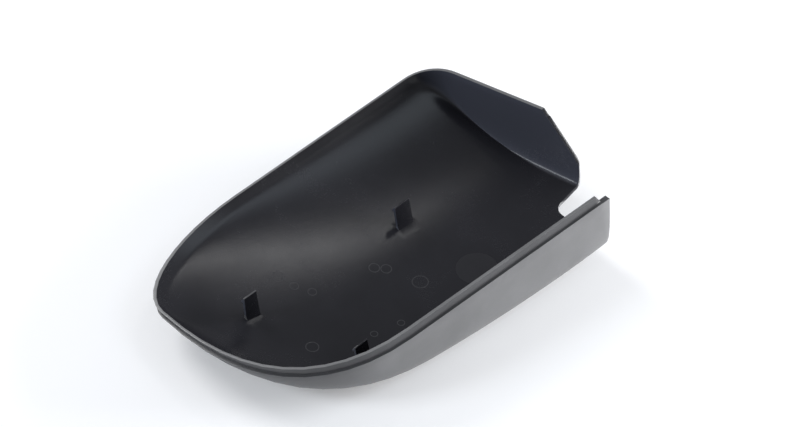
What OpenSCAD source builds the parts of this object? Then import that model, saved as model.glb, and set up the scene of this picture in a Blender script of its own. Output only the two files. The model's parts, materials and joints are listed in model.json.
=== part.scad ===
// Wing mirror cover: a moulded shell that snaps over the back of a car's door mirror.
// It lies on its crown with the hollow up, as it comes to rest when put down.
// The shell is drawn in a frame of its own rim: X runs from the nose to the inboard end, Y = 0 is
// the far side, the near side is at -Y, and Z = 0 is the plane of the rim. The last step turns it
// to the way it lies and stands its lowest point on Z = 0.

/* [Rim outline] */
// Length of the far side of the rim, squared off at its corners
far_length = 224.2; // [200:0.1:260]
// Width of the rim at the nose, squared off
nose_width = 138.4; // [120:0.1:165]
// Angle by which the near side spreads from the far side
near_spread = 2.6; // [0:0.1:8]
// Angle by which the inboard edge leans out on its way to the near side
end_rake = 11.7; // [0:0.1:20]
// Reach of the far nose corner along the far side
nose_far_reach_x = 79; // [40:1:90]
// Reach of the far nose corner along the nose
nose_far_reach_y = 37; // [20:1:50]
// Reach of the near nose corner along the near side
nose_near_reach_x = 81; // [40:1:110]
// Reach of the near nose corner along the nose
nose_near_reach_y = 100; // [50:1:104]
// Reach of the inboard corners along the long sides
end_reach_x = 19; // [10:0.2:30]
// Reach of the inboard corners along the inboard edge
end_reach_y = 18.8; // [10:0.2:30]
// Reach of the inboard corners down in the crease at the foot of the end facet
crease_reach = 8; // [4:0.5:15]
// How far the inboard corner curves are pulled towards their squared-off corners
corner_pull = 0.62; // [0.4:0.01:0.8]
// How far the far nose corner is pulled towards its squared-off corner
nose_far_pull = 0.545; // [0.4:0.01:0.8]
// How far the near nose corner is pulled towards its squared-off corner
nose_near_pull = 0.67; // [0.4:0.01:0.8]

/* [Far wall] */
// Distance from the far rim to the foot of its wall
far_run = 85; // [50:1:95]
// Lean of the far wall's control handle at the rim
far_lean = 0; // [0:0.5:10]
// Part of the depth over which the far wall stays upright
far_hold = 0.58; // [0.3:0.01:0.95]
// Length of the soft bend at the far wall's foot
far_ease = 40; // [10:1:50]

/* [Nose wall] */
// Distance from the nose rim to the foot of its wall
nose_run = 52; // [20:1:80]
// Lean of the nose wall's control handle at the rim
nose_lean = 0; // [0:0.5:10]
// Part of the depth over which the nose wall stays upright
nose_hold = 0.8; // [0.3:0.01:0.95]
// Length of the soft bend at the nose wall's foot
nose_ease = 33; // [10:1:50]

/* [Near wall] */
// Distance from the near rim to the foot of its wall
near_run = 14; // [10:1:25]
// Lean of the near wall's control handle at the rim
near_lean = 1.5; // [0:0.5:10]
// Part of the depth over which the near wall stays upright
near_hold = 0.97; // [0.3:0.01:0.98]
// Length of the bend at the near wall's foot
near_ease = 12.5; // [5:0.5:20]

/* [Inboard end facet] */
// Distance from the inboard rim to the foot of the flat end facet
end_run = 7; // [4:0.5:20]
// Lean of the end facet's control handle
end_lean = 1.2; // [0:0.2:10]
// Part of the depth over which the facet stays flat
end_hold = 0.98; // [0.5:0.01:0.98]
// Length of the crease at the facet's foot
end_ease = 4.5; // [3:0.5:15]

/* [Floor] */
// Depth of the floor below the rim at its deepest point
floor_depth = 48.2; // [40:0.1:60]
// Deepest point of the floor, from the nose
deepest_x = 200; // [150:1:240]
// Deepest point of the floor, from the far side
deepest_y = 135; // [70:1:140]
// Crown radius of the floor along the shell
crown_long_radius = 640; // [400:10:1500]
// Crown radius of the floor inboard of its deepest point, where it turns up to the end facet
crown_end_radius = 280; // [150:10:1500]
// Crown radius of the floor across the shell
crown_cross_radius = 600; // [250:10:1500]

/* [Wall and lip] */
// Thickness of the moulded wall
wall = 2.2; // [1.8:0.1:3.5]
// Thickness of the near wall, which is moulded stouter
near_wall = 3.4; // [2:0.1:4.4]
// Thickness of the nose wall
nose_wall = 3; // [2:0.1:4.4]
// Thickness of the thin lip that stands inside the shoulder
lip_thickness = 1.3; // [0.8:0.1:1.8]
// Thickness of the lip along the near side
near_lip = 1.7; // [0.8:0.1:2.2]
// Width of the shoulder that is left along the end facet
end_shoulder = 0.3; // [0.2:0.1:0.8]
// Height of the lip above the shoulder along the far side and the end facet
lip_height = 4.8; // [3:0.1:7]
// Height of the lip along the near side
near_lip_height = 5.5; // [3:0.1:7]
// Height of the lip at the nose
nose_lip_height = 3.4; // [2:0.1:7]

/* [Arm opening] */
// Place of the wall's cut end beside the opening for the mirror's arm, from the nose
tail_x = 219.5; // [205:0.5:228]
// Distance from the far side to the opening's edge across the floor
opening_y = 105.5; // [100:0.5:115]
// How far the opening's edge draws towards the far side on its way inboard
opening_rise = 2.4; // [0:0.1:4]
// Rounding of the opening's inner corner
opening_round = 6.5; // [2:0.5:9]
// Rounding of the floor's corner beside the end facet
floor_corner_round = 9; // [4:0.5:20]
// Distance from the far side to the start of the slanted cut at the rim
slant_y = 78.5; // [70:0.5:90]
// Depth of the foot of the slanted cut below the rim
slant_foot_depth = 33; // [26:0.5:38]
// How much earlier than the wall the lip ends at the opening
lip_setback = 5; // [0:0.5:15]
// Run of the slope at the lip's end
lip_end_run = 3; // [0:0.5:6]

/* [Snap clips] */
// Thickness of a clip's neck
clip_neck = 1.8; // [1.4:0.1:2.6]
// Spread of a clip's flared foot on each side of its neck
clip_flare = 0.6; // [0.6:0.1:2.4]
// Height of the flared foot
clip_flare_height = 4; // [3:0.5:7]
// Overhang of the barb towards the far side
clip_barb = 1.6; // [0.8:0.1:2.4]
// Height of the barbed head
clip_head = 4.2; // [3:0.1:5]
// Widening of a clip's foot at each end
clip_splay = 0.2; // [0:0.1:1.5]
// Height of the clip near the nose above the wall it stands on
nose_clip_height = 16.6; // [12:0.1:22]
// Height of the other clips above the wall
clip_height = 18.4; // [12:0.1:22]
// Length of the clip near the nose
nose_clip_length = 8.3; // [5:0.1:12]
// Place of the clip near the nose, along the shell
nose_clip_x = 38.9; // [30:0.1:60]
// How far the head of the clip near the nose stands inboard of its foot
nose_clip_shift = 1.8; // [0:0.1:4]
// Distance of the clip near the nose from the far side
nose_clip_y = 58.8; // [45:0.1:80]
// Length of the clip below the far wall
end_clip_length = 10.8; // [5:0.1:12]
// Place of the clip below the far wall, along the shell
end_clip_x = 149; // [120:0.5:180]
// Distance of the clip below the far wall from the far side
end_clip_y = 56.5; // [45:0.5:80]
// Length of the clip by the near side
near_clip_length = 8.4; // [5:0.1:12]
// Place of the clip by the near side, along the shell
near_clip_x = 64; // [50:0.5:120]
// Distance of the clip by the near side from the far side
near_clip_y = 121; // [100:0.5:124]

/* [Way it lies] */
// Lean of the rim plane about the long axis as it lies
lie_roll = -6.5; // [-15:0.1:15]
// Lean of the rim plane about the cross axis as it lies
lie_pitch = -6.4; // [-15:0.1:15]

/* [Hidden] */

// Middle of the floor's rings, as shares of the floor's length from the nose and of its width from
// the far wall
middle_along = 0.57;
middle_across = 0.65;
// Points on each corner curve and on each long or short side between them
corner_steps = 12;
far_steps = 20;
end_steps = 10;
near_steps = 18;
nose_steps = 3;
// Rings from the lip's foot down the wall, and from the wall's foot to the middle of the floor
wall_rings = 16;
floor_rings = 7;

function mix(a, b, t) = a + (b - a) * t;
function bezier(a, b, c, d, t) =
    a * pow(1 - t, 3) + 3 * b * t * pow(1 - t, 2) + 3 * c * t * t * (1 - t) + d * pow(t, 3);
function ease(t) = t * t * (3 - 2 * t);
function unit(v) = v / norm(v);

// The four sides in order round the rim: far, inboard end, near, nose.
// Each is a point on the squared-off rim line and the direction that points into the shell.
far_corner = [far_length, 0];
nose_corner = [0, -nose_width];
side_point = [[0, 0], far_corner, nose_corner, [0, 0]];
side_inward = [
    [0, -1],
    [-cos(end_rake), -sin(end_rake)],
    [sin(near_spread), cos(near_spread)],
    [1, 0]
];
run = [far_run, end_run, near_run, nose_run];
lean = [far_lean, end_lean, near_lean, nose_lean];
hold = [far_hold, end_hold, near_hold, nose_hold];
bend = [far_ease, end_ease, near_ease, nose_ease];
thick = [wall, wall, near_wall, nose_wall];
lip = [lip_thickness, wall - end_shoulder, near_lip, lip_thickness];
lip_rise = [lip_height, lip_height, near_lip_height, nose_lip_height];
// Corner reaches at the rim: [along the side before, along the side after] for the corner after
// each side. Down the wall the nose corners shrink with their sides, and the inboard corners
// tighten into the crease.
reach = [
    [end_reach_x, end_reach_y],
    [end_reach_y, end_reach_x],
    [nose_near_reach_x, nose_near_reach_y],
    [nose_far_reach_y, nose_far_reach_x]
];
tightens = [true, true, false, false];
pull = [corner_pull, corner_pull, nose_near_pull, nose_far_pull];

// Wall profile of side s at t from 0 at the rim to 1 at the wall's foot
function inset(s, t) = bezier(0, lean[s], run[s] - bend[s], run[s], t);
function drop(s, t) = bezier(0, hold[s], 1, 1, t);

// Where two side lines meet once both have moved inwards by a and b
function meet(s, a, u, b) =
    let (
        n = side_inward[s],
        m = side_inward[u],
        p = n * side_point[s] + a,
        q = m * side_point[u] + b,
        det = n[0] * m[1] - n[1] * m[0]
    )
    [(p * m[1] - q * n[1]) / det, (q * n[0] - p * m[0]) / det];

// The squared-off corner after side s, at wall parameter t
function ring_corner(s, t) =
    let (u = (s + 1) % 4)
    meet(s, inset(s, t), u, inset(u, t));
function rim_side_length(s) = norm(ring_corner(s, 0) - ring_corner((s + 3) % 4, 0));
side_length = [for (s = [0:3]) rim_side_length(s)];

// Share of side s that the corner after side c takes at wall parameter t; end is 0 for the side
// before that corner and 1 for the side after it
function corner_share(c, end, s, t) =
    let (rim_reach = reach[c][end])
    (tightens[c] ? mix(rim_reach, crease_reach, drop(s, t)) : rim_reach) / side_length[s];

// Ends of the straight part of side s at wall parameter t
function side_start(s, t) =
    let (c = (s + 3) % 4)
    mix(ring_corner(c, t), ring_corner(s, t), corner_share(c, 1, s, t));
function side_end(s, t) =
    mix(ring_corner(s, t), ring_corner((s + 3) % 4, t), corner_share(s, 0, s, t));

// Depth of the crowned floor below the rim plane
function floor_at(p) =
    floor_depth
    - pow(p[0] - deepest_x, 2) / (2 * (p[0] < deepest_x ? crown_long_radius : crown_end_radius))
    - pow(p[1] + deepest_y, 2) / (2 * crown_cross_radius);

// Point on side s, or on the corner after it, at v along it and t down its wall
function on_side(s, v, t) =
    let (p = mix(side_start(s, t), side_end(s, t), v))
    [p[0], p[1], -drop(s, t) * floor_at(p)];
function on_corner(s, v, t) =
    let (
        u = (s + 1) % 4,
        a = side_end(s, t),
        c = ring_corner(s, t),
        b = side_start(u, t),
        p = bezier(a, mix(a, c, pull[s]), mix(b, c, pull[s]), b, v)
    )
    [p[0], p[1], -mix(drop(s, t), drop(u, t), ease(v)) * floor_at(p)];

// Stations round the rim: [kind, side, place along it]
steps = [far_steps, end_steps, near_steps, nose_steps];
stations = [
    for (s = [0:3])
        each concat(
            [for (i = [0:steps[s] - 1]) [0, s, i / steps[s]]],
            [for (i = [0:corner_steps - 1]) [1, s, i / corner_steps]]
        )
];
count = len(stations);
function inner(i, t) =
    let (k = stations[i])
    k[0] == 0 ? on_side(k[1], k[2], t) : on_corner(k[1], k[2], t);

// A value given for each side, at station i: it eases from side to side round the corners
function by_side(values, i) =
    let (k = stations[i])
    k[0] == 0 ? values[k[1]] : mix(values[k[1]], values[(k[1] + 1) % 4], ease(k[2]));

// Wall parameter at which station i has dropped by the lip's height
function lip_foot(i, low = 0, high = 0.5, n = 14) =
    let (t = (low + high) / 2)
    n == 0 ? t
    : -inner(i, t)[2] < by_side(lip_rise, i) ? lip_foot(i, t, high, n - 1) : lip_foot(i, low, t, n - 1);

// Inner surface: the rim, the lip's foot, the wall's rings, then the floor's rings to its middle
foot_ring = [for (i = [0:count - 1]) inner(i, 1)];
middle = [
    mix(nose_run, far_length - end_run, middle_along),
    -mix(far_run, nose_width - near_run, middle_across)
];
inner_rings = concat(
    [[for (i = [0:count - 1]) inner(i, 0)]],
    [
        for (j = [0:wall_rings])
            [for (i = [0:count - 1]) inner(i, mix(lip_foot(i), 1, j / wall_rings))]
    ],
    [
        for (j = [1:floor_rings - 1])
            [
                for (i = [0:count - 1])
                    let (p = mix([foot_ring[i][0], foot_ring[i][1]], middle, j / floor_rings))
                    [p[0], p[1], -floor_at(p)]
            ]
    ]
);
ring_count = len(inner_rings);

// Outward normals of the inner surface, from each point's neighbours
function normal_at(j, i) =
    let (
        along = inner_rings[j][(i + 1) % count] - inner_rings[j][(i + count - 1) % count],
        down = inner_rings[min(j + 1, ring_count - 1)][i] - inner_rings[max(j - 1, 0)][i]
    )
    unit(cross(along, down));
function level(n) = let (h = norm([n[0], n[1]])) [n[0] / h, n[1] / h, 0] / h;

lip_top = [for (i = [0:count - 1]) inner_rings[0][i] + level(normal_at(0, i)) * by_side(lip, i)];
lip_base = [for (i = [0:count - 1]) inner_rings[1][i] + level(normal_at(1, i)) * by_side(lip, i)];
shoulder = [for (i = [0:count - 1]) inner_rings[1][i] + level(normal_at(1, i)) * by_side(thick, i)];
// Thickness down the wall: the near wall's extra thickness runs out at the wall's foot
function thickness(j, i) = mix(by_side(thick, i), wall, ease(min(1, max(0, (j - 1) / wall_rings))));
skin_rings = [
    for (j = [2:ring_count - 1])
        [for (i = [0:count - 1]) inner_rings[j][i] + normal_at(j, i) * thickness(j, i)]
];

// One closed skin: inner surface from its middle up, over the lip and shoulder, and down outside
skin_grid = concat(
    [for (j = [ring_count - 1:-1:0]) inner_rings[j]],
    [lip_top, lip_base, shoulder],
    skin_rings
);
rows = len(skin_grid);
inner_middle = [middle[0], middle[1], -floor_at(middle)];
skin_points = concat([inner_middle], [for (r = skin_grid) each r], [inner_middle - [0, 0, wall]]);
last = rows * count + 1;
function at(j, i) = 1 + j * count + i % count;
skin_faces = concat(
    [for (i = [0:count - 1]) [0, at(0, i), at(0, i + 1)]],
    [
        for (j = [0:rows - 2], i = [0:count - 1])
            each [[at(j, i), at(j + 1, i), at(j + 1, i + 1)], [at(j, i), at(j + 1, i + 1), at(j, i + 1)]]
    ],
    [for (i = [0:count - 1]) [last, at(rows - 1, i + 1), at(rows - 1, i)]]
);

module bowl() {
    polyhedron(points = skin_points, faces = skin_faces);
}

// The opening for the mirror's arm: everything inboard of the tail and nearer than the slanted
// cut and the floor's edge, plus the end of the lip
cut_margin = 40;
end_edge_x = far_length + opening_y * tan(end_rake) + wall;
end_edge_y = opening_y - opening_rise;
edge_slope = opening_rise / (end_edge_x - tail_x);
module opening_plan() {
    offset(r = opening_round) offset(delta = -opening_round)
        polygon([
            [tail_x, -opening_y],
            [tail_x, -nose_width - cut_margin],
            [end_edge_x + cut_margin, -nose_width - cut_margin],
            [end_edge_x + cut_margin, -end_edge_y + cut_margin * edge_slope]
        ]);
}
slant_slope = (end_edge_y - slant_y) / slant_foot_depth;
module slant_side() {
    polygon([
        [-slant_y + lip_height * slant_slope, lip_height],
        [-end_edge_y, -slant_foot_depth],
        [-end_edge_y - cut_margin, -slant_foot_depth],
        [-end_edge_y - cut_margin, lip_height]
    ]);
}
module arm_opening() {
    translate([0, 0, -floor_depth - cut_margin])
        linear_extrude(floor_depth + cut_margin + lip_height) opening_plan();
    translate([tail_x + opening_round, 0, 0])
        rotate([90, 0, 90]) linear_extrude(cut_margin) slant_side();
}
// Rounding of the floor's corner between the end facet and the opening
corner_x = end_edge_x - floor_corner_round;
corner_y = opening_y - edge_slope * (corner_x - tail_x);
module floor_corner() {
    translate([corner_x, -corner_y, -floor_depth - cut_margin])
        linear_extrude(floor_depth + cut_margin)
            difference() {
                translate([0, -floor_corner_round]) square(cut_margin + floor_corner_round);
                translate([0, floor_corner_round]) circle(floor_corner_round, $fn = 48);
                translate([0, floor_corner_round]) square(cut_margin);
            }
}
lip_end_relief = 0.2;
module lip_end() {
    translate([0, -opening_y, 0])
        rotate([90, 0, 0])
            linear_extrude(nose_width + cut_margin - opening_y)
                polygon([
                    [tail_x - lip_setback - lip_end_run, lip_height],
                    [tail_x - lip_setback - lip_end_run, 0],
                    [tail_x - lip_setback, -near_lip_height - lip_end_relief],
                    [tail_x + cut_margin, -near_lip_height - lip_end_relief],
                    [tail_x + cut_margin, lip_height]
                ]);
}

// Height of the inner surface at [x, y], weighed from the points around it
sample_reach = 12;
function height_at(x, y) =
    let (
        around = [
            for (r = inner_rings, q = r)
                if (abs(q[0] - x) < sample_reach && abs(q[1] - y) < sample_reach)
                    [1 / (1 + pow(q[0] - x, 4) + pow(q[1] - y, 4)), q[2]]
        ],
        weights = [for (a = around) a[0]],
        heights = [for (a = around) a[1]]
    )
    weights * heights / (weights * [for (a = around) 1]);
function rise_x(x, y) = (height_at(x + slope_step, y) - height_at(x - slope_step, y)) / (2 * slope_step);
function rise_y(x, y) = (height_at(x, y + slope_step) - height_at(x, y - slope_step)) / (2 * slope_step);
slope_step = 8;

// A snap clip: a thin plate along X with a barbed head that hooks towards the far side. Its foot
// follows the slope of the wall it stands on.
clip_root = 1.3;
clip_lead = 0.6;
module clip_profile(height, slope) {
    half = clip_neck / 2;
    foot = half + clip_flare;
    polygon([
        [-foot, -clip_root - slope * foot],
        [foot, -clip_root + slope * foot],
        [foot, slope * foot],
        [half, clip_flare_height],
        [half, height - clip_head],
        [half + clip_barb, height - clip_head],
        [half + clip_barb, height - clip_head + clip_lead],
        [0, height],
        [-half, height],
        [-half, clip_flare_height],
        [-foot, -slope * foot]
    ]);
}
module clip_front(height, length, slope, shift) {
    wide = length / 2 + clip_splay;
    polygon([
        [-wide, -clip_root - slope * wide],
        [wide, -clip_root + slope * wide],
        [shift + length / 2, height],
        [shift - length / 2, height]
    ]);
}
module clip(place, height, length, shift = 0) {
    slope_x = rise_x(place[0], place[1]);
    slope_y = rise_y(place[0], place[1]);
    reach_y = 2 * (clip_neck + clip_flare + clip_barb);
    translate([place[0], place[1], height_at(place[0], place[1])])
        intersection() {
            rotate([90, 0, 90])
                translate([0, 0, -length])
                    linear_extrude(2 * length) clip_profile(height, slope_y);
            rotate([90, 0, 0])
                translate([0, 0, -reach_y / 2])
                    linear_extrude(reach_y) clip_front(height, length, slope_x, shift);
        }
}
module snap_clips() {
    clip([nose_clip_x, -nose_clip_y], nose_clip_height, nose_clip_length, nose_clip_shift);
    clip([end_clip_x, -end_clip_y], clip_height, end_clip_length);
    clip([near_clip_x, -near_clip_y], clip_height, near_clip_length);
}

module shell() {
    difference() {
        bowl();
        arm_opening();
        floor_corner();
        lip_end();
    }
    snap_clips();
}

// Turn a point to the way the shell lies
function lie(p) =
    let (
        y = p[1] * cos(lie_roll) - p[2] * sin(lie_roll),
        z = p[1] * sin(lie_roll) + p[2] * cos(lie_roll)
    )
    [p[0] * cos(lie_pitch) + z * sin(lie_pitch), y, z * cos(lie_pitch) - p[0] * sin(lie_pitch)];

// The skin's points outside the arm opening, and the places where its rings meet the opening,
// as they lie: their box gives the middle of the base
function beyond(p) =
    min(
        p[0] - tail_x,
        max(p[2] * slant_slope - slant_y - p[1], floor_corner_round / 4 - end_edge_y - p[1])
    );
lying_points = [
    for (r = skin_grid, i = [0:count - 1])
        let (
            p = r[i],
            q = r[(i + 1) % count],
            a = beyond(p),
            b = beyond(q)
        )
        each concat(a <= 0 ? [lie(p)] : [], a * b < 0 ? [lie(mix(p, q, a / (a - b)))] : [])
];
lying_x = [for (p = lying_points) p[0]];
lying_y = [for (p = lying_points) p[1]];
lying_z = [for (p = lying_points) p[2]];
base_middle = [
    (min(lying_x) + max(lying_x)) / 2,
    (min(lying_y) + max(lying_y)) / 2,
    min(lying_z)
];

module mirror_cover() {
    color([0.16, 0.16, 0.17])
        translate(-base_middle) rotate([lie_roll, lie_pitch, 0]) shell();
}

mirror_cover();
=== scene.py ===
import bpy, json, math
import numpy as np
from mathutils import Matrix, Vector


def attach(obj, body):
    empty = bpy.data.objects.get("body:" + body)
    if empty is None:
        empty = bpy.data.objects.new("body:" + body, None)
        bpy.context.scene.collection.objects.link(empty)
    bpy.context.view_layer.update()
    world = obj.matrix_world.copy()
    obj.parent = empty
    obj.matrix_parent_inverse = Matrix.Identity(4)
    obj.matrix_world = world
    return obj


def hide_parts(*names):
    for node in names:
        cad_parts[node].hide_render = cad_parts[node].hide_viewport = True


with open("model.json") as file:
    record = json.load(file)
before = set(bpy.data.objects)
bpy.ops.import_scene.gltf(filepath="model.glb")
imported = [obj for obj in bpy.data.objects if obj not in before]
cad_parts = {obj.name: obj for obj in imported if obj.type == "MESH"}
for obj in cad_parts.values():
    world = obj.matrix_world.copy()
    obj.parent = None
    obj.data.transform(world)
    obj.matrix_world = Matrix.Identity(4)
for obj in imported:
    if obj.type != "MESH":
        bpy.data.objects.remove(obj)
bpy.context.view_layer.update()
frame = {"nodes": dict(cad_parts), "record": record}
scene = bpy.context.scene


# The camera is a long lens that looks down into the hollow from beyond the nose, at the near side.
# Its place, turn and lens were fitted to the rim, the crease and the near wall in the photograph.
CAMERA_PLACE = (-0.45962, -0.48235, 0.76146)
CAMERA_TURN = (42.9731, -2.1651, -41.9339)
CAMERA_LENS = 81.193

camera_data = bpy.data.cameras.new("camera")
camera_data.sensor_width = 36.0
camera_data.sensor_fit = "HORIZONTAL"
camera_data.lens = CAMERA_LENS
camera_data.clip_start = 0.05
camera = bpy.data.objects.new("camera", camera_data)
camera.location = CAMERA_PLACE
camera.rotation_euler = [math.radians(angle) for angle in CAMERA_TURN]
scene.collection.objects.link(camera)
scene.camera = camera
scene.view_settings.view_transform = "Standard"


# The moulded shell is one injection moulding in black plastic, with its lip, clips and opening.
# The tool leaves its edges broken by a hair's breadth, the inside a fine satin and the outer wall
# smoother, and the outer wall is coloured paler. The thin lip, which stands inside a shoulder all round,
# lies between the two.
EDGE_BREAK = 0.00022
SHARPEST_BEND_KEPT_SOFT = 44  # degrees
RIM_UP = np.array(frame["record"]["mounts"][0]["axis"])  # the clips snap in square to the rim's plane
RIM_MIDDLE = np.array((0.0040, -0.0058, 0.0434))
SHOULDER_BELOW_RIM = 0.0028
LIP_FOOT_BELOW_RIM = 0.0064
RIM_FLAT = 0.0007  # faces this close to the rim's plane are its flat top
SHOULDER_LEVEL = 0.985  # how nearly the shoulder's flat faces up, as a cosine
SHOULDER_RISE = 0.0006  # the most that one face of the shoulder climbs
LOOKS_OUT = 0.3  # cosines of the angle from straight out and from straight up
LOOKS_UP = 0.6
LOOKS_DOWN = -0.2
CLIP_HEAD = 0.012  # how far down from its top a clip stays dark
CLIP_REACH = {"nose_clip": (0.012, 0.009), "end_clip": (0.012, 0.009), "near_clip": (0.009, 0.006)}

cad_shell = frame["nodes"]["mirror_cover"]
bpy.ops.object.select_all(action="DESELECT")
shell = cad_shell.copy()
shell.data = cad_shell.data.copy()
shell.name = "shell"
shell.parent = None
scene.collection.objects.link(shell)
bpy.context.view_layer.objects.active = shell
shell.select_set(True)
bpy.ops.object.mode_set(mode="EDIT")
bpy.ops.mesh.select_all(action="SELECT")
bpy.ops.mesh.remove_doubles(threshold=0.00002)
bpy.ops.object.mode_set(mode="OBJECT")
edge_break = shell.modifiers.new("edge_break", "BEVEL")
edge_break.width = EDGE_BREAK
edge_break.segments = 2
edge_break.limit_method = "ANGLE"
edge_break.angle_limit = math.radians(35)
edge_break.use_clamp_overlap = True
bpy.ops.object.modifier_apply(modifier="edge_break")
bpy.ops.object.shade_smooth_by_angle(angle=math.radians(SHARPEST_BEND_KEPT_SOFT))


def group_sockets(group, inputs, outputs):
    """Gives a node group its named sockets."""
    for name, kind, value in inputs:
        socket = group.interface.new_socket(name, in_out="INPUT", socket_type=kind)
        if value is not None:
            socket.default_value = value
    for name, kind in outputs:
        group.interface.new_socket(name, in_out="OUTPUT", socket_type=kind)


def maths(tree, kind, first, second=None, third=None):
    """Adds a Math node whose inputs are sockets or plain numbers, and returns its result."""
    node = tree.nodes.new("ShaderNodeMath")
    node.operation = kind
    for slot, value in enumerate((first, second, third)):
        if value is None:
            continue
        if isinstance(value, (int, float)):
            node.inputs[slot].default_value = value
        else:
            tree.links.new(value, node.inputs[slot])
    return node.outputs[0]


def ramp(tree, value, low, high, out_low=0.0, out_high=1.0):
    """Maps a value from one range to another, clamped."""
    node = tree.nodes.new("ShaderNodeMapRange")
    node.clamp = True
    for name, number in (("From Min", low), ("From Max", high), ("To Min", out_low), ("To Max", out_high)):
        node.inputs[name].default_value = number
    tree.links.new(value, node.inputs["Value"])
    return node.outputs["Result"]


# The fine spark texture that the tool leaves, as a height and a mask.
mould_grain = bpy.data.node_groups.new("mould_grain", "ShaderNodeTree")
group_sockets(
    mould_grain,
    [("Vector", "NodeSocketVector", None), ("Scale", "NodeSocketFloat", 1400.0)],
    [("Height", "NodeSocketFloat"), ("Mask", "NodeSocketFloat")],
)
inside = mould_grain.nodes.new("NodeGroupInput")
outside = mould_grain.nodes.new("NodeGroupOutput")
fine = mould_grain.nodes.new("ShaderNodeTexNoise")
fine.inputs["Detail"].default_value = 3.0
fine.inputs["Roughness"].default_value = 0.6
mould_grain.links.new(inside.outputs["Vector"], fine.inputs["Vector"])
mould_grain.links.new(inside.outputs["Scale"], fine.inputs["Scale"])
coarse = mould_grain.nodes.new("ShaderNodeTexNoise")
coarse.inputs["Detail"].default_value = 2.0
mould_grain.links.new(inside.outputs["Vector"], coarse.inputs["Vector"])
mould_grain.links.new(maths(mould_grain, "MULTIPLY", inside.outputs["Scale"], 0.28), coarse.inputs["Scale"])
both = maths(mould_grain, "MULTIPLY_ADD", coarse.outputs["Fac"], 0.5, fine.outputs["Fac"])
mould_grain.links.new(both, outside.inputs["Height"])
mould_grain.links.new(ramp(mould_grain, both, 0.55, 0.95), outside.inputs["Mask"])

# Slow changes of tone across the moulding, as the plastic flowed, and a few specks of dust.
flow_tone = bpy.data.node_groups.new("flow_tone", "ShaderNodeTree")
group_sockets(
    flow_tone,
    [("Vector", "NodeSocketVector", None), ("Scale", "NodeSocketFloat", 26.0)],
    [("Tone", "NodeSocketFloat"), ("Specks", "NodeSocketFloat")],
)
inside = flow_tone.nodes.new("NodeGroupInput")
outside = flow_tone.nodes.new("NodeGroupOutput")
slow = flow_tone.nodes.new("ShaderNodeTexNoise")
slow.inputs["Detail"].default_value = 4.0
slow.inputs["Roughness"].default_value = 0.55
slow.inputs["Distortion"].default_value = 0.4
flow_tone.links.new(inside.outputs["Vector"], slow.inputs["Vector"])
flow_tone.links.new(inside.outputs["Scale"], slow.inputs["Scale"])
flow_tone.links.new(ramp(flow_tone, slow.outputs["Fac"], 0.3, 0.7), outside.inputs["Tone"])
dots = flow_tone.nodes.new("ShaderNodeTexVoronoi")
dots.inputs["Scale"].default_value = 260.0
flow_tone.links.new(inside.outputs["Vector"], dots.inputs["Vector"])
near_dot = ramp(flow_tone, dots.outputs["Distance"], 0.05, 0.09, 1.0, 0.0)
pick = flow_tone.nodes.new("ShaderNodeSeparateColor")
flow_tone.links.new(dots.outputs["Color"], pick.inputs["Color"])
few = maths(flow_tone, "GREATER_THAN", pick.outputs["Red"], 0.93)
flow_tone.links.new(maths(flow_tone, "MULTIPLY", near_dot, few), outside.inputs["Specks"])

# Painted highlight on the edges, with some rubbing: where the surface turns within a hair's breadth, it is
# painted paler and made shinier.
edge_highlight_and_wear = bpy.data.node_groups.new("edge_highlight_and_wear", "ShaderNodeTree")
group_sockets(
    edge_highlight_and_wear,
    [("Vector", "NodeSocketVector", None), ("Radius", "NodeSocketFloat", 0.0006)],
    [("Mask", "NodeSocketFloat")],
)
inside = edge_highlight_and_wear.nodes.new("NodeGroupInput")
outside = edge_highlight_and_wear.nodes.new("NodeGroupOutput")
rounded = edge_highlight_and_wear.nodes.new("ShaderNodeBevel")
rounded.samples = 6
edge_highlight_and_wear.links.new(inside.outputs["Radius"], rounded.inputs["Radius"])
surface = edge_highlight_and_wear.nodes.new("ShaderNodeNewGeometry")
turn = edge_highlight_and_wear.nodes.new("ShaderNodeVectorMath")
turn.operation = "DOT_PRODUCT"
edge_highlight_and_wear.links.new(rounded.outputs["Normal"], turn.inputs[0])
edge_highlight_and_wear.links.new(surface.outputs["Normal"], turn.inputs[1])
patchy = edge_highlight_and_wear.nodes.new("ShaderNodeTexNoise")
patchy.inputs["Scale"].default_value = 180.0
patchy.inputs["Detail"].default_value = 3.0
edge_highlight_and_wear.links.new(inside.outputs["Vector"], patchy.inputs["Vector"])
turned = ramp(edge_highlight_and_wear, turn.outputs["Value"], 0.97, 0.80)
patchy_strength = ramp(edge_highlight_and_wear, patchy.outputs["Fac"], 0.35, 0.65, 0.35, 1.0)
edge_highlight_and_wear.links.new(maths(edge_highlight_and_wear, "MULTIPLY", turned, patchy_strength), outside.inputs["Mask"])

# Plain marks of the tool on the floor: circles left by ejector pins, and one finely matt patch.
# Each is a place in plan and a radius.
PIN_RINGS = (
    (-0.05285, 0.02834, 0.0030),
    (-0.04931, 0.01882, 0.0024),
    (-0.04360, 0.01021, 0.0024),
    (-0.00448, 0.00300, 0.0030),
    (0.00040, -0.00164, 0.0030),
    (0.00855, -0.02097, 0.0045),
    (-0.06935, -0.02047, 0.0035),
    (-0.03689, -0.03372, 0.0020),
    (-0.02020, -0.03694, 0.0020),
)
RING_LINE = 0.00035
MATT_PATCH = (0.03858, -0.03488, 0.0120)

tool_marks = bpy.data.node_groups.new("tool_marks", "ShaderNodeTree")
group_sockets(
    tool_marks,
    [("Vector", "NodeSocketVector", None)],
    [("Rings", "NodeSocketFloat"), ("Patch", "NodeSocketFloat")],
)
inside = tool_marks.nodes.new("NodeGroupInput")
outside = tool_marks.nodes.new("NodeGroupOutput")
axes = tool_marks.nodes.new("ShaderNodeSeparateXYZ")
tool_marks.links.new(inside.outputs["Vector"], axes.inputs["Vector"])


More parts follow.
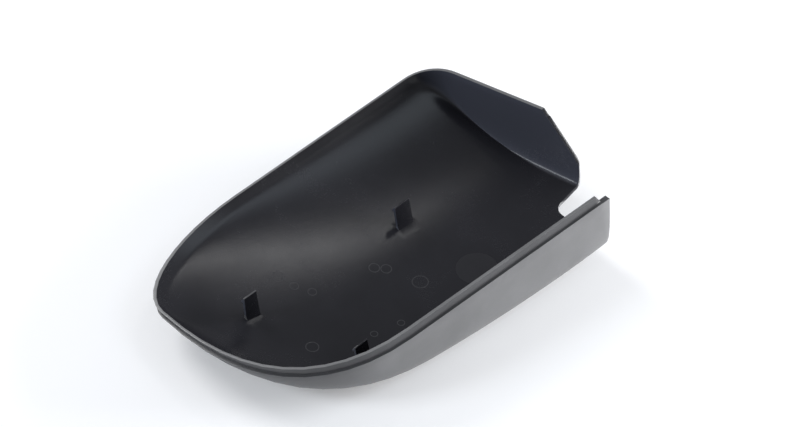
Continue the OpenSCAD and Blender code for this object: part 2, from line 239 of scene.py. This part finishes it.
def from_middle(x, y):
    """Plan distance from a point of the floor."""
    along = maths(tool_marks, "SUBTRACT", axes.outputs["X"], x)
    across = maths(tool_marks, "SUBTRACT", axes.outputs["Y"], y)
    squares = maths(tool_marks, "MULTIPLY_ADD", along, along, maths(tool_marks, "MULTIPLY", across, across))
    return maths(tool_marks, "SQRT", squares)


rings = None
for x, y, radius in PIN_RINGS:
    off_line = maths(tool_marks, "ABSOLUTE", maths(tool_marks, "SUBTRACT", from_middle(x, y), radius))
    ring = ramp(tool_marks, off_line, RING_LINE * 0.4, RING_LINE, 1.0, 0.0)
    rings = ring if rings is None else maths(tool_marks, "MAXIMUM", rings, ring)
tool_marks.links.new(rings, outside.inputs["Rings"])
patch_x, patch_y, patch_radius = MATT_PATCH
patch = ramp(tool_marks, from_middle(patch_x, patch_y), patch_radius * 0.94, patch_radius, 1.0, 0.0)
tool_marks.links.new(patch, outside.inputs["Patch"])


def use_group(tree, group, place, values):
    """Places a node group in a material, with its own values and the place it reads."""
    node = tree.nodes.new("ShaderNodeGroup")
    node.node_tree = group
    for name, value in values.items():
        node.inputs[name].default_value = value
    tree.links.new(place, node.inputs["Vector"])
    return node


def blend_colours(tree, first, second, factor):
    """Mixes two colours, each a socket or plain numbers, and returns the result."""
    node = tree.nodes.new("ShaderNodeMix")
    node.data_type = "RGBA"
    for name, colour in (("A", first), ("B", second)):
        if isinstance(colour, tuple):
            node.inputs[name].default_value = (*colour, 1)
        else:
            tree.links.new(colour, node.inputs[name])
    tree.links.new(factor, node.inputs["Factor"])
    return node.outputs["Result"]


FLOW_SCALE = 26.0
FLOW_DARKEST = 0.86  # times the plain colour
FLOW_PALEST = 1.12
PAINTED_LIGHT_STARTS = -0.25  # how far a face looks towards the nose, where its painted light and shade starts and is full
PAINTED_LIGHT_FULL = -0.90
EDGE_HIGHLIGHT_RADIUS = 0.0006
EDGE_HIGHLIGHT_STARTS = 0.0195  # heights between which the painted highlight on the edges comes in
EDGE_HIGHLIGHT_FULL = 0.0215
SPECK_TONE = 0.10  # how far a speck, a ring and the patch go towards the pale colour of the painted edge highlight
RING_TONE = 0.22
PATCH_TONE = 0.03
RING_RAISE = 2.0  # times the grain's own height
PATCH_ROUGHNESS = 0.12
BUMP_DEPTH = 0.0002


def plastic(name, base, painted_light_and_shade_to_nose, edge_highlight_and_marks, roughness, ior, grain_scale, grain_strength, marked=False):
    """One finish of the black plastic, with a second tone of painted light and shade where a face looks
    towards the nose.
    """
    material = bpy.data.materials.new(name)
    material.use_nodes = True
    tree = material.node_tree
    nodes, links = tree.nodes, tree.links
    nodes.clear()
    out = nodes.new("ShaderNodeOutputMaterial")
    skin = nodes.new("ShaderNodeBsdfPrincipled")
    skin.name = "Principled BSDF"
    links.new(skin.outputs["BSDF"], out.inputs["Surface"])
    skin.inputs["IOR"].default_value = ior
    coords = nodes.new("ShaderNodeTexCoord")
    place = coords.outputs["Object"]
    grain = use_group(tree, mould_grain, place, {"Scale": grain_scale})
    tone = use_group(tree, flow_tone, place, {"Scale": FLOW_SCALE})
    edge_highlight = use_group(tree, edge_highlight_and_wear, place, {"Radius": EDGE_HIGHLIGHT_RADIUS})
    darkest = tuple(part * FLOW_DARKEST for part in base)
    palest = tuple(part * FLOW_PALEST for part in base)
    colour = blend_colours(tree, darkest, palest, tone.outputs["Tone"])
    facing = nodes.new("ShaderNodeSeparateXYZ")
    links.new(coords.outputs["Normal"], facing.inputs["Vector"])
    # Faces that look towards the nose take a painted tone: painted light inside (the paler, bluer end face
    # by the opening) and painted shade outside (the darker outer wall at the nose).
    painted_light_to_nose_mask = ramp(tree, facing.outputs["X"], PAINTED_LIGHT_STARTS, PAINTED_LIGHT_FULL)
    colour = blend_colours(tree, colour, painted_light_and_shade_to_nose, painted_light_to_nose_mask)
    spot = nodes.new("ShaderNodeSeparateXYZ")
    links.new(place, spot.inputs["Vector"])
    high_up = ramp(tree, spot.outputs["Z"], EDGE_HIGHLIGHT_STARTS, EDGE_HIGHLIGHT_FULL)
    # The pale mix is a painted highlight on the high edges of the rim, together with specks of dust and the
    # tool's marks.
    pale = maths(tree, "MULTIPLY", edge_highlight.outputs["Mask"], high_up)
    pale = maths(tree, "MAXIMUM", pale, maths(tree, "MULTIPLY", tone.outputs["Specks"], SPECK_TONE))
    rough = maths(tree, "MULTIPLY_ADD", tone.outputs["Tone"], 0.05, roughness - 0.03)
    rough = maths(tree, "MULTIPLY_ADD", grain.outputs["Mask"], 0.03, rough)
    rough = maths(tree, "MULTIPLY_ADD", edge_highlight.outputs["Mask"], -0.06, rough)
    height = grain.outputs["Height"]
    if marked:
        tool = use_group(tree, tool_marks, place, {})
        pale = maths(tree, "MAXIMUM", pale, maths(tree, "MULTIPLY", tool.outputs["Rings"], RING_TONE))
        pale = maths(tree, "MAXIMUM", pale, maths(tree, "MULTIPLY", tool.outputs["Patch"], PATCH_TONE))
        rough = maths(tree, "MULTIPLY_ADD", tool.outputs["Patch"], PATCH_ROUGHNESS, rough)
        height = maths(tree, "MULTIPLY_ADD", tool.outputs["Rings"], RING_RAISE, height)
    links.new(blend_colours(tree, colour, edge_highlight_and_marks, pale), skin.inputs["Base Color"])
    links.new(rough, skin.inputs["Roughness"])
    bump = nodes.new("ShaderNodeBump")
    bump.inputs["Strength"].default_value = grain_strength
    bump.inputs["Distance"].default_value = BUMP_DEPTH
    links.new(height, bump.inputs["Height"])
    links.new(bump.outputs["Normal"], skin.inputs["Normal"])
    return material


# The second colour inside is painted light on the end face by the opening. The second colour outside is
# painted shade on the outer wall at the nose. On the lip it equals the base and changes nothing.
satin_inside = plastic(
    "moulded_plastic",
    base=(0.0132, 0.0132, 0.0165), painted_light_and_shade_to_nose=(0.062, 0.066, 0.086), edge_highlight_and_marks=(0.12, 0.12, 0.125),
    roughness=0.24, ior=1.36, grain_scale=1300.0, grain_strength=0.20, marked=True)
smooth_outside = plastic(
    "moulded_plastic_outer",
    base=(0.160, 0.160, 0.163), painted_light_and_shade_to_nose=(0.070, 0.070, 0.074), edge_highlight_and_marks=(0.24, 0.24, 0.245),
    roughness=0.36, ior=1.45, grain_scale=1700.0, grain_strength=0.06)
lip_finish = plastic(
    "moulded_plastic_lip",
    base=(0.062, 0.062, 0.066), painted_light_and_shade_to_nose=(0.062, 0.062, 0.066), edge_highlight_and_marks=(0.16, 0.16, 0.165),
    roughness=0.34, ior=1.45, grain_scale=1700.0, grain_strength=0.06)
shell.data.materials.clear()
for material in (satin_inside, smooth_outside, lip_finish):
    shell.data.materials.append(material)

# Each face takes its finish from the way it looks and how far below the rim it lies.
faces = shell.data.polygons
centres, normals = np.zeros(len(faces) * 3), np.zeros(len(faces) * 3)
faces.foreach_get("center", centres)
faces.foreach_get("normal", normals)
centres, normals = centres.reshape(-1, 3), normals.reshape(-1, 3)
points = np.zeros(len(shell.data.vertices) * 3)
shell.data.vertices.foreach_get("co", points)
point_height = (points.reshape(-1, 3) - RIM_MIDDLE) @ RIM_UP
corner_points, first_corner = np.zeros(len(shell.data.loops), int), np.zeros(len(faces), int)
shell.data.loops.foreach_get("vertex_index", corner_points)
faces.foreach_get("loop_start", first_corner)
highest = np.maximum.reduceat(point_height[corner_points], first_corner)
lowest = np.minimum.reduceat(point_height[corner_points], first_corner)
from_rim = centres - RIM_MIDDLE
radial = from_rim - np.outer(from_rim @ RIM_UP, RIM_UP)
radial /= np.linalg.norm(radial, axis=1)[:, None]
facing_up = normals @ RIM_UP
looks_out = ((normals * radial).sum(1) > LOOKS_OUT) & (facing_up <= LOOKS_UP)
under_shoulder = highest < -SHOULDER_BELOW_RIM
over_lip_foot = lowest > -LIP_FOOT_BELOW_RIM
is_level = (facing_up > SHOULDER_LEVEL) & (highest - lowest < SHOULDER_RISE)
is_shoulder = is_level & under_shoulder & over_lip_foot
is_lip = (looks_out & ~under_shoulder & over_lip_foot) | is_shoulder
is_outer = (facing_up < LOOKS_DOWN) | (looks_out & (under_shoulder | ~over_lip_foot)) | (lowest > -RIM_FLAT)
for clip in frame["record"]["mounts"]:
    away = np.abs(centres - np.array(clip["pos_m"]))
    reach_x, reach_y = CLIP_REACH[clip["name"]]
    beside = (away[:, 0] < reach_x) & (away[:, 1] < reach_y)
    is_outer &= ~(beside & (centres[:, 2] > clip["pos_m"][2] - CLIP_HEAD))
finish = np.where(is_outer, 1, np.where(is_lip, 2, 0))
faces.foreach_set("material_index", finish.astype(np.int32))
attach(shell, "root")
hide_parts("mirror_cover")


# The table is a plain white sheet that takes the cover's soft shadow.
# It glows a little for the camera and for reflections, so that it shows white without more light.
TABLE_GLOW = 0.14

bpy.ops.object.select_all(action="DESELECT")
bpy.ops.mesh.primitive_plane_add(size=8, location=(0, 0, 0))
table = bpy.context.active_object
table.name = "table"
white = bpy.data.materials.new("table_white")
white.use_nodes = True
top = white.node_tree.nodes["Principled BSDF"]
top.inputs["Base Color"].default_value = (0.86, 0.86, 0.87, 1)
top.inputs["Roughness"].default_value = 0.7
top.inputs["Specular IOR Level"].default_value = 0.2
top.inputs["Emission Color"].default_value = (1, 1, 1, 1)
rays = white.node_tree.nodes.new("ShaderNodeLightPath")
seen = maths(white.node_tree, "MAXIMUM", rays.outputs["Is Camera Ray"], rays.outputs["Is Glossy Ray"])
seen = maths(white.node_tree, "MAXIMUM", seen, rays.outputs["Is Transmission Ray"])
glow = maths(white.node_tree, "MULTIPLY", seen, TABLE_GLOW)
white.node_tree.links.new(glow, top.inputs["Emission Strength"])
table.data.materials.append(white)


# The light comes from soft boxes round the table and from a pale room. A narrow box overhead draws
# the highlight along the far wall, the one at the left the line on the crease, and the one low at
# the right lights the near wall. The rest fill in, two of them a little cooler.
WORLD_COLOUR = (0.33, 0.336, 0.35)
WORLD_SEEN = 3.0  # times as bright for the camera, so that it shows white


def soft_box(name, place, aim, size, power, colour=(1, 1, 1)):
    """Hangs a rectangular lamp at a place, turned towards what it lights."""
    data = bpy.data.lights.new(name, "AREA")
    data.shape = "RECTANGLE"
    data.size, data.size_y = size
    data.energy = power
    data.color = colour
    lamp = bpy.data.objects.new(name, data)
    lamp.location = place
    lamp.rotation_euler = (Vector(aim) - Vector(place)).to_track_quat("-Z", "Y").to_euler()
    scene.collection.objects.link(lamp)
    return lamp


def round_table(azimuth, elevation, reach):
    """A place at a compass angle and a height angle from the middle of the table."""
    a, e = math.radians(azimuth), math.radians(elevation)
    return (reach * math.cos(a) * math.cos(e), reach * math.sin(a) * math.cos(e), reach * math.sin(e))


top_box = soft_box("top_box", (0.225, 0.096, 0.500), (-0.045, 0.04, 0.01), (0.050, 0.050), 0.0044)
top_box.data.spread = math.radians(28)
soft_box("right_box", round_table(328, 12, 1.0), (0.03, -0.03, 0.02), (0.6, 0.32), 16)
soft_box("left_box", round_table(156, 34, 1.3), (0.05, 0, 0.02), (0.32, 0.32), 6, (0.90, 0.95, 1.0))
soft_box("back_box", round_table(104, 42, 1.3), (0, 0, 0.02), (0.6, 0.5), 7)
soft_box("front_box", round_table(312, 52, 1.3), (0, 0, 0.02), (0.6, 0.5), 1.8, (0.80, 0.90, 1.0))
soft_box("low_box", round_table(245, 12, 1.4), (0, 0, 0.02), (0.9, 0.4), 0.5, (0.70, 0.85, 1.0))
world = bpy.data.worlds.new("studio")
world.use_nodes = True
sky = world.node_tree.nodes["Background"]
sky.inputs["Color"].default_value = (*WORLD_COLOUR, 1)
rays = world.node_tree.nodes.new("ShaderNodeLightPath")
seen = maths(world.node_tree, "MULTIPLY_ADD", rays.outputs["Is Camera Ray"], WORLD_SEEN - 1, 1.0)
world.node_tree.links.new(seen, sky.inputs["Strength"])
scene.world = world
